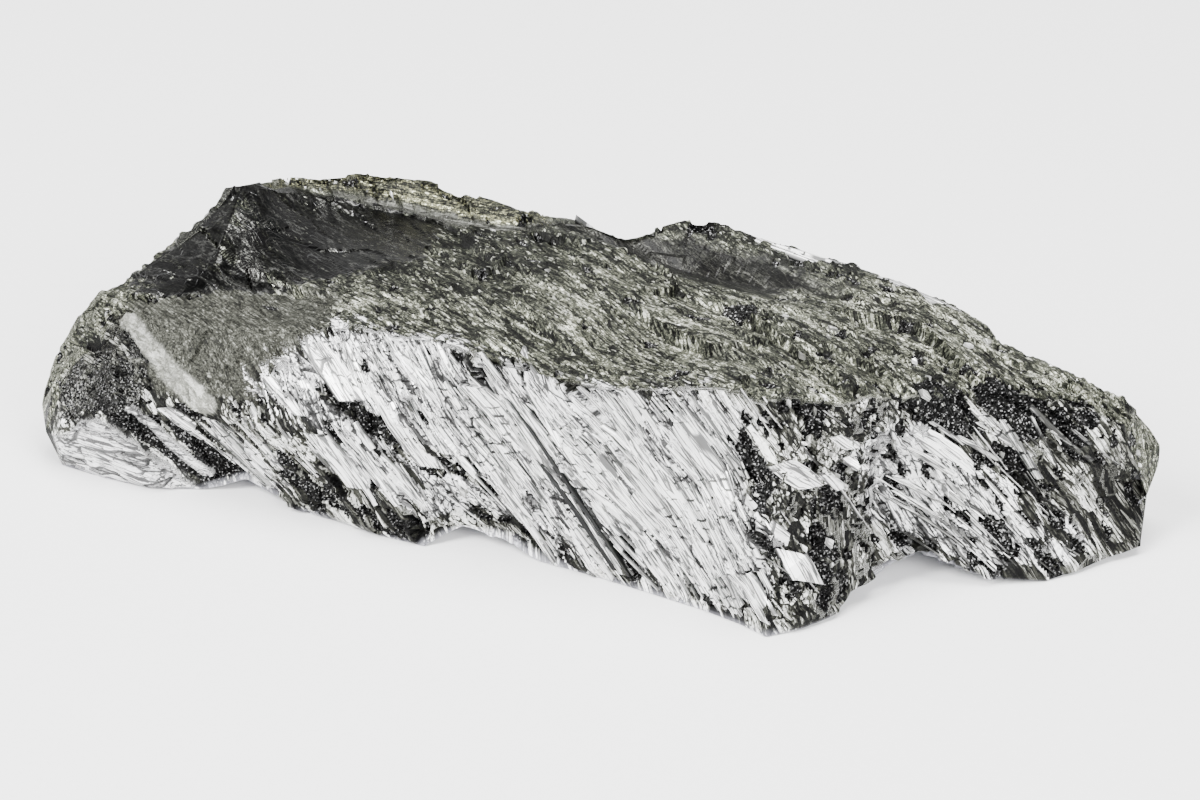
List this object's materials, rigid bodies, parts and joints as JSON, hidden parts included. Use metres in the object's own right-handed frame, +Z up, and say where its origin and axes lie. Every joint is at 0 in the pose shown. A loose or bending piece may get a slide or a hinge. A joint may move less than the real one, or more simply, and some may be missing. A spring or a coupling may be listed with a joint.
{
  "type": "stibnite mineral specimen",
  "caption": "Long broken block of massive stibnite with silvery bladed faces, a dark granular top and a flat underside that it rests on.",
  "frame": {"origin": "middle of the stone's length and depth, on the surface that it rests on", "axes": "+X along the stone from its peaked end to its narrow end, +Y from the bladed front to the back, +Z up"},
  "size_m": [0.1381, 0.0606, 0.0283],
  "materials": {
    "stibnite": "metallic grey, silvery on the blades and near black and glossy on the peak"
  },
  "bodies": {
    "root": {"stibnite_mass": "stibnite"}
  },
  "joints": []
}
